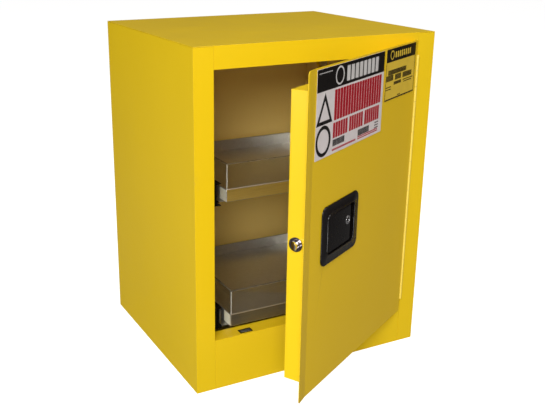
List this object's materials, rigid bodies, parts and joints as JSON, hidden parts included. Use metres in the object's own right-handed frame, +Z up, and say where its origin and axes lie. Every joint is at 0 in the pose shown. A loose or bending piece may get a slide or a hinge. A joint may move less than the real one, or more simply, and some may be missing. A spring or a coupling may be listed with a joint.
{
  "type": "flammable storage cabinet",
  "caption": "Bench-top double-walled steel cabinet with a hinged door, paddle handle and three-point latch, leak-proof sump, and pull-out trays with clear guards.",
  "frame": {"origin": "middle of the case's footprint, on the surface the cabinet stands on", "axes": "+Z up, +Y towards the back of the case, +X to the right of someone facing the door"},
  "size_m": [0.543, 0.6891, 0.686],
  "materials": {
    "yellow_powder_coat": "semi-gloss powder coat",
    "liner_powder_coat": "semi-gloss powder coat",
    "black_plastic": "fine satin",
    "black_steel": "black coating",
    "zinc_steel": "zinc plated",
    "galvanised_steel": "galvanised",
    "chrome": "polished",
    "clear_acrylic": "clear acrylic",
    "label_film": "printed film without lettering"
  },
  "bodies": {
    "cabinet": {"outer_side_left": "yellow_powder_coat", "outer_side_right": "yellow_powder_coat", "outer_top": "yellow_powder_coat", "lower_front_rail": "yellow_powder_coat", "outer_back": "yellow_powder_coat", "outer_bottom": "yellow_powder_coat", "liner_side_left": "liner_powder_coat", "liner_side_right": "liner_powder_coat", "liner_top": "liner_powder_coat", "liner_back": "liner_powder_coat", "sump_pan": "liner_powder_coat", "vent_tube_upper": "yellow_powder_coat", "vent_screen_upper": "zinc_steel", "vent_bung_upper": "black_plastic", "vent_tube_lower": "yellow_powder_coat", "vent_screen_lower": "zinc_steel", "vent_bung_lower": "black_plastic", "earthing_stud": "zinc_steel", "hinge_leaf_frame": "yellow_powder_coat", "hinge_pin": "zinc_steel", "upper_slide_mount_left": "black_steel", "upper_slide_mount_right": "black_steel", "upper_slide_outer_left": "black_steel", "upper_slide_outer_right": "black_steel", "lower_slide_mount_left": "black_steel", "lower_slide_mount_right": "black_steel", "lower_slide_outer_left": "black_steel", "lower_slide_outer_right": "black_steel"},
    "door": {"door_skin": "yellow_powder_coat", "door_pan": "yellow_powder_coat", "hinge_leaf_door": "yellow_powder_coat", "label_large": "label_film", "label_small": "label_film", "handle_dish": "black_plastic", "paddle_pin": "zinc_steel", "paddle_spring": "zinc_steel", "cam_stud": "zinc_steel", "bolt_housing": "chrome", "rod_guide_upper": "zinc_steel", "rod_guide_lower": "zinc_steel"},
    "paddle": {"paddle": "black_plastic", "lock_cylinder": "chrome"},
    "lock_plug": {"lock_plug": "chrome"},
    "side_bolt": {"side_bolt": "chrome"},
    "latch_cam": {"latch_cam": "zinc_steel"},
    "upper_rod": {"upper_rod": "zinc_steel"},
    "lower_rod": {"lower_rod": "zinc_steel"},
    "upper_slide_middles": {"upper_slide_middle_left": "zinc_steel", "upper_slide_middle_right": "zinc_steel"},
    "upper_drawer": {"upper_tray": "galvanised_steel", "upper_guard": "clear_acrylic", "upper_slide_inner_left": "zinc_steel", "upper_slide_inner_right": "zinc_steel"},
    "lower_slide_middles": {"lower_slide_middle_left": "zinc_steel", "lower_slide_middle_right": "zinc_steel"},
    "lower_drawer": {"lower_tray": "galvanised_steel", "lower_guard": "clear_acrylic", "lower_slide_inner_left": "zinc_steel", "lower_slide_inner_right": "zinc_steel"}
  },
  "joints": [
    {"name": "door_hinge", "type": "hinge", "parent": "cabinet", "child": "door", "pos_m": [0.224, -0.2325, 0.3745], "axis": [0, 0, 1], "range_deg": [-29.4, 140.6]},
    {"name": "paddle_pivot", "type": "hinge", "parent": "door", "child": "paddle", "pos_m": [-0.09631, -0.40553, 0.3745], "axis": [0, 0, -1], "range_deg": [0, 38], "stiffness_Nm_per_rad": 0.4, "springref_deg": -17.19},
    {"name": "lock_turn", "type": "hinge", "parent": "paddle", "child": "lock_plug", "pos_m": [-0.03127, -0.37633, 0.38], "axis": [-0.4909, 0.8712, 0], "range_deg": [-90, 0]},
    {"name": "side_bolt_slide", "type": "slide", "parent": "door", "child": "side_bolt", "axis": [0.8712, 0.4909, 0], "range_m": [0, 0.0102]},
    {"name": "cam_turn", "type": "hinge", "parent": "door", "child": "latch_cam", "pos_m": [-0.11638, -0.3964, 0.3625], "axis": [-0.4909, 0.8712, 0], "range_deg": [0, 50.2]},
    {"name": "upper_rod_slide", "type": "slide", "parent": "door", "child": "upper_rod", "axis": [0, 0, -1], "range_m": [0, 0.0102]},
    {"name": "lower_rod_slide", "type": "slide", "parent": "door", "child": "lower_rod", "axis": [0, 0, 1], "range_m": [0, 0.0102]},
    {"name": "upper_drawer_slide", "type": "slide", "parent": "cabinet", "child": "upper_drawer", "axis": [0, -1, 0], "range_m": [0, 0.034]},
    {"name": "upper_middles_slide", "type": "slide", "parent": "cabinet", "child": "upper_slide_middles", "axis": [0, -1, 0], "range_m": [0, 0.0171]},
    {"name": "lower_drawer_slide", "type": "slide", "parent": "cabinet", "child": "lower_drawer", "axis": [0, -1, 0], "range_m": [-0.019, 0.014]},
    {"name": "lower_middles_slide", "type": "slide", "parent": "cabinet", "child": "lower_slide_middles", "axis": [0, -1, 0], "range_m": [-0.0096, 0.0071]}
  ],
  "couplings": [
    {"joint": "side_bolt_slide", "follows": "paddle_pivot", "m_per_rad": 0.015218},
    {"joint": "cam_turn", "follows": "paddle_pivot", "ratio": 1.3088},
    {"joint": "upper_rod_slide", "follows": "paddle_pivot", "m_per_rad": 0.015218},
    {"joint": "lower_rod_slide", "follows": "paddle_pivot", "m_per_rad": 0.015218},
    {"joint": "upper_middles_slide", "follows": "upper_drawer_slide", "ratio": 0.5},
    {"joint": "lower_middles_slide", "follows": "lower_drawer_slide", "ratio": 0.5}
  ]
}
